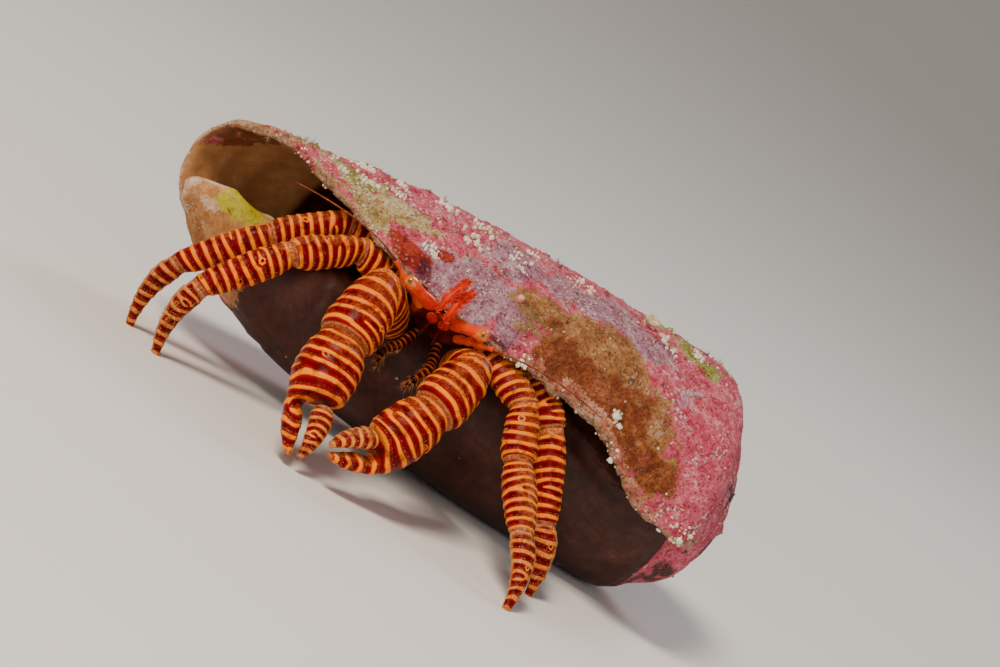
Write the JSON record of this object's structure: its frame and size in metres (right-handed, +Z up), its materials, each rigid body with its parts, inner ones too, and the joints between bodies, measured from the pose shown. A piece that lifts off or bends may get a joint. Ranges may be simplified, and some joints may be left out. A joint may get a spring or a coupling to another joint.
{
  "type": "hermit crab in a cone shell",
  "caption": "Striped hermit crab standing on its legs and claws, its body in an overgrown cone shell, as a still life-size model.",
  "frame": {"origin": "on the floor under the middle of the bounding box", "axes": "+X towards the shell's spire along its long side, -Y is where the crab faces, +Z up"},
  "size_m": [0.0688, 0.0506, 0.0274],
  "materials": {
    "shell": "rough chalky crust in pink, lilac and olive over a tan shell",
    "banded_plate": "satin, crimson and yellow-orange rings with short pale bristles",
    "red_plate": "satin red plate, mottled",
    "orange_stalk": "satin, vivid red-orange",
    "eye": "wet gloss with a small dark pupil",
    "feeler": "satin orange, darker along the whips",
    "soft_skin": "soft, slightly moist, pale pinkish orange"
  },
  "bodies": {
    "root": {"shell": "shell", "shield": "red_plate", "hind_carapace": "soft_skin", "abdomen": "soft_skin", "tail_fan": "red_plate", "right_eyestalk": "orange_stalk", "right_eye": "eye", "right_eye_scale": "red_plate", "right_antenna": "feeler", "right_feeler": "feeler", "right_antennule": "feeler", "right_mouth_leg": "feeler", "left_eyestalk": "orange_stalk", "left_eye": "eye", "left_eye_scale": "red_plate", "left_antenna": "feeler", "left_feeler": "feeler", "left_antennule": "feeler", "left_mouth_leg": "feeler", "right_front_leg_merus": "banded_plate", "right_front_leg_carpus": "banded_plate", "right_front_leg_propodus": "banded_plate", "right_front_leg_dactyl": "banded_plate", "right_rear_leg_merus": "banded_plate", "right_rear_leg_carpus": "banded_plate", "right_rear_leg_propodus": "banded_plate", "right_rear_leg_dactyl": "banded_plate", "left_front_leg_merus": "banded_plate", "left_front_leg_carpus": "banded_plate", "left_front_leg_propodus": "banded_plate", "left_front_leg_dactyl": "banded_plate", "left_rear_leg_merus": "banded_plate", "left_rear_leg_carpus": "banded_plate", "left_rear_leg_propodus": "banded_plate", "left_rear_leg_dactyl": "banded_plate", "right_claw_merus": "banded_plate", "right_claw_carpus": "banded_plate", "right_claw_palm": "banded_plate", "right_claw_finger": "banded_plate", "left_claw_merus": "banded_plate", "left_claw_carpus": "banded_plate", "left_claw_palm": "banded_plate", "left_claw_finger": "banded_plate", "right_fourth_leg": "soft_skin", "right_fifth_leg": "soft_skin", "left_fourth_leg": "soft_skin", "left_fifth_leg": "soft_skin"}
  },
  "joints": []
}
